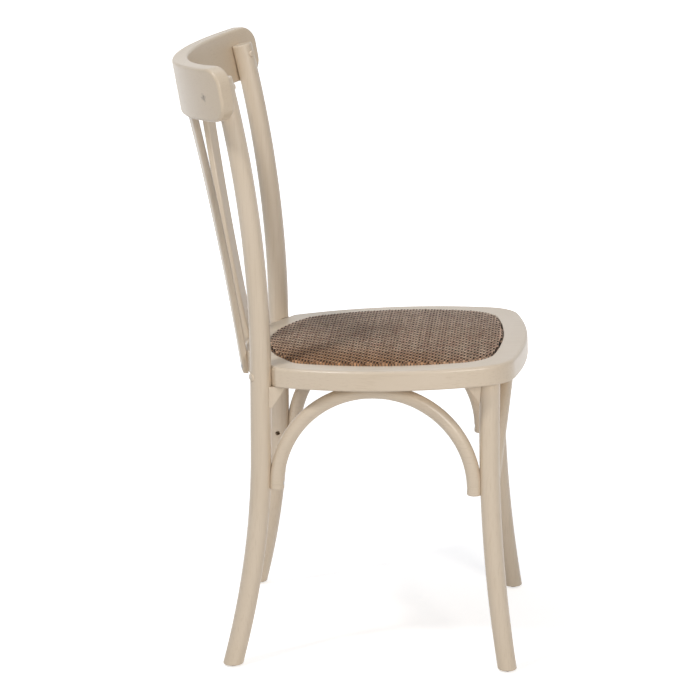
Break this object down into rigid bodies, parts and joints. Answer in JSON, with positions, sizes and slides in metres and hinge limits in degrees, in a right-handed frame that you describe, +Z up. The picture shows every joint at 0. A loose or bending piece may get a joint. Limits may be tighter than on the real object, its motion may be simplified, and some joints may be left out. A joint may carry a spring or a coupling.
{
  "type": "wooden dining chair",
  "caption": "Painted bentwood dining chair: splayed round legs, arched braces under the seat, woven seat panel, bowed crest rail and two bent back slats.",
  "frame": {"origin": "on the floor, under the middle of the chair's bounding box", "axes": "+Z up, -Y to the front of the chair, +X to the sitter's left"},
  "size_m": [0.4342, 0.5113, 0.86],
  "materials": {
    "painted_wood": "satin cream paint on beech",
    "rattan": "woven dark rattan strands",
    "plywood": "raw birch plywood",
    "steel": "zinc-plated",
    "nylon": "moulded dark nylon",
    "cap_plastic": "moulded, cream like the paint"
  },
  "bodies": {
    "root": {"arch_end_screws": "steel", "arch_top_screws": "steel", "back_slat_left": "painted_wood", "back_slat_right": "painted_wood", "barrel_nuts": "steel", "block_screws": "steel", "board_screws": "steel", "crest_rail": "painted_wood", "crest_screw_caps": "cap_plastic", "crest_screws": "steel", "foot_glides": "nylon", "front_arch": "painted_wood", "front_block_left": "painted_wood", "front_block_right": "painted_wood", "front_leg_left": "painted_wood", "front_leg_right": "painted_wood", "rear_block_left": "painted_wood", "rear_block_right": "painted_wood", "rear_post_left": "painted_wood", "rear_post_right": "painted_wood", "seat_board": "plywood", "seat_bolts": "steel", "seat_frame": "painted_wood", "seat_weave": "rattan", "side_arch_left": "painted_wood", "side_arch_right": "painted_wood", "slat_screws": "steel"}
  },
  "joints": []
}
